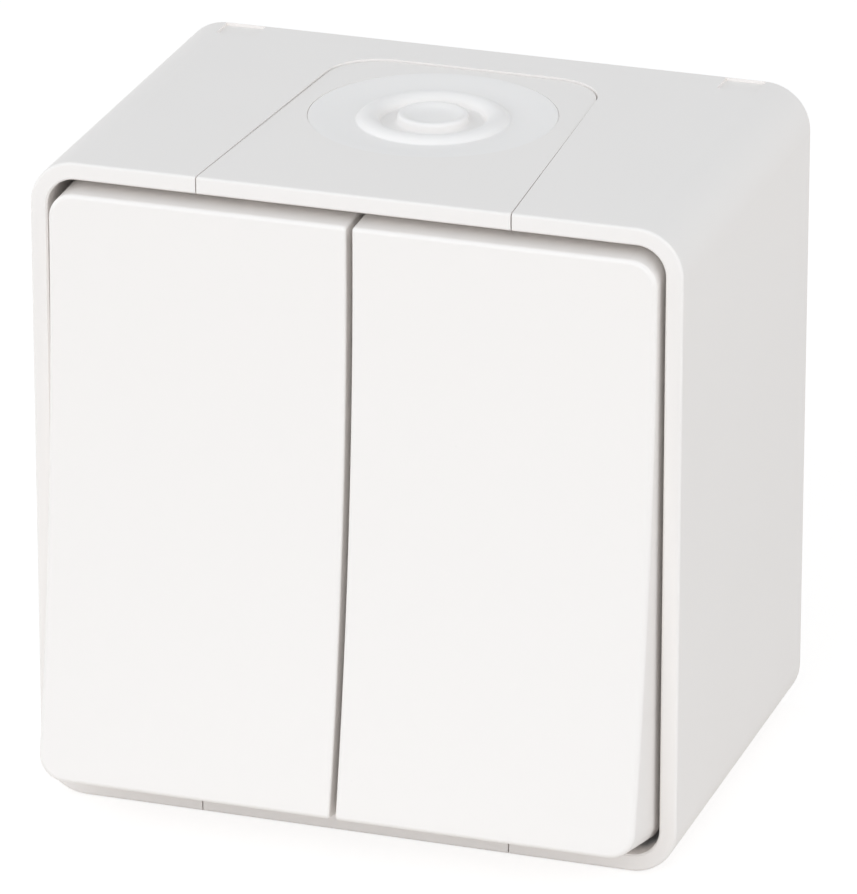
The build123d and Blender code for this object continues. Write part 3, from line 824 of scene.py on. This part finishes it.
class SWITCH_OT_studio(bpy.types.Operator):
    """Set up the pale floor, the soft light and the camera"""

    bl_idname = "switch.studio"
    bl_label = "Set up the studio"

    def in_view(self, tree):
        """1 for what the camera sees straight, mirrored or through glass, and 0 for what only gives light."""
        path = add_node(tree, "ShaderNodeLightPath").outputs
        bent = add_node(
            tree,
            "ShaderNodeMath",
            {0: path["Is Glossy Ray"], 1: path["Is Transmission Ray"]},
            operation="MAXIMUM",
        )
        seen = add_node(
            tree, "ShaderNodeMath", {0: path["Is Camera Ray"], 1: bent.outputs[0]}, operation="MAXIMUM"
        )
        return seen.outputs[0]

    def floor(self, light):
        """A wide white floor that keeps the switch's soft shadow."""
        deselect_all()
        bpy.ops.mesh.primitive_plane_add(size=8.0, location=(0, 0, CAD_BOX[0].z))
        floor = bpy.context.object
        floor.name = "studio_floor"
        tree = start_material("White studio floor")[0]
        share = add_node(
            tree, "ShaderNodeMath", {0: self.in_view(tree), 1: light.floor_share}, operation="MULTIPLY"
        )
        paper = add_node(tree, "ShaderNodeBsdfDiffuse", {"Color": (*light.floor_colour, 1)})
        lift = add_node(tree, "ShaderNodeEmission", {"Color": (1, 1, 1, 1), "Strength": light.floor_glow})
        veil = add_node(
            tree, "ShaderNodeMixShader", {0: share.outputs[0], 1: paper.outputs[0], 2: lift.outputs[0]}
        )
        finish_material(tree, veil)
        floor.data.materials.append(bpy.data.materials["White studio floor"])

    def surround(self, context, light):
        """An even light all round, with white behind the switch."""
        world = bpy.data.worlds.get("Studio") or bpy.data.worlds.new("Studio")
        world.use_nodes = True
        context.scene.world = world
        tree = world.node_tree
        tree.nodes.clear()
        even = add_node(tree, "ShaderNodeBackground", {"Color": (*light.tint, 1), "Strength": light.surround})
        white = add_node(tree, "ShaderNodeBackground", {"Color": (1, 1, 1, 1), "Strength": 1.0})
        mixed = add_node(
            tree,
            "ShaderNodeMixShader",
            {0: self.in_view(tree), 1: even.outputs[0], 2: white.outputs[0]},
        )
        add_node(tree, "ShaderNodeOutputWorld", {"Surface": mixed.outputs[0]})

    def towards(self, turn, rise):
        """The direction from the switch to what stands at a turn to the right of its front and a rise."""
        return Vector((math.sin(turn) * math.cos(rise), -math.cos(turn) * math.cos(rise), math.sin(rise)))

    def soft_lamp(self, light, name, power, turn):
        """One square soft lamp that looks at the switch."""
        deselect_all()
        away = self.towards(turn, light.lamp_rise)
        bpy.ops.object.light_add(type="AREA", location=LOOK_AT + away * light.lamp_distance)
        lamp = bpy.context.object
        lamp.name = name
        lamp.data.shape = "SQUARE"
        lamp.data.size = light.lamp_size
        lamp.data.energy = power
        lamp.data.color = light.tint
        lamp.rotation_euler = (-away).to_track_quat("-Z", "Y").to_euler()

    def camera(self, context, light):
        """A long lens at the photograph's viewing angle."""
        deselect_all()
        back = self.towards(light.azimuth, light.elevation)
        bpy.ops.object.camera_add(location=LOOK_AT + back * light.distance)
        camera = bpy.context.object
        camera.name = "photo_camera"
        camera.rotation_euler = (-back).to_track_quat("-Z", "Y").to_euler()
        camera.data.sensor_width = 36.0
        camera.data.lens = 322.15
        camera.data.clip_start = 0.01
        camera.data.clip_end = 50.0
        context.scene.camera = camera

    def execute(self, context):
        light = context.scene.switch_studio
        self.floor(light)
        self.surround(context, light)
        self.soft_lamp(light, "key_lamp", light.key_power, 0)
        self.soft_lamp(light, "left_lamp", light.side_power, -light.side_turn)
        self.soft_lamp(light, "right_lamp", light.side_power, light.side_turn)
        self.camera(context, light)
        context.scene.view_settings.view_transform = "Standard"
        return {"FINISHED"}


class SWITCH_PT_sidebar(bpy.types.Panel):
    """The switch's operators, sizes and colours in the sidebar"""

    bl_label = "Light switch"
    bl_idname = "SWITCH_PT_sidebar"
    bl_space_type = "VIEW_3D"
    bl_region_type = "UI"
    bl_category = "Switch"

    def draw(self, context):
        for step in STEPS:
            self.layout.operator(step.bl_idname)
        for settings in SETTINGS:
            group = getattr(context.scene, settings)
            box = self.layout.box()
            for name in group.__annotations__:
                box.prop(group, name)


STEPS = (
    SWITCH_OT_finishes,
    SWITCH_OT_membranes,
    SWITCH_OT_gasket,
    SWITCH_OT_springs,
    SWITCH_OT_screws,
    SWITCH_OT_studio,
)
SETTINGS = {
    "switch_finish": SwitchFinish,
    "switch_membrane": MembraneShape,
    "switch_fine": FineParts,
    "switch_studio": StudioLight,
}


def register():
    for kind in (*SETTINGS.values(), *STEPS, SWITCH_PT_sidebar):
        bpy.utils.register_class(kind)
    for name, kind in SETTINGS.items():
        setattr(bpy.types.Scene, name, PointerProperty(type=kind))


def unregister():
    for name in SETTINGS:
        delattr(bpy.types.Scene, name)
    for kind in (SWITCH_PT_sidebar, *STEPS, *SETTINGS.values()):
        bpy.utils.unregister_class(kind)


def main():
    register()
    bpy.ops.switch.finishes()
    bpy.ops.switch.membranes()
    bpy.ops.switch.gasket()
    bpy.ops.switch.springs()
    bpy.ops.switch.screws()
    bpy.ops.switch.studio()


if __name__ == "__main__":
    main()
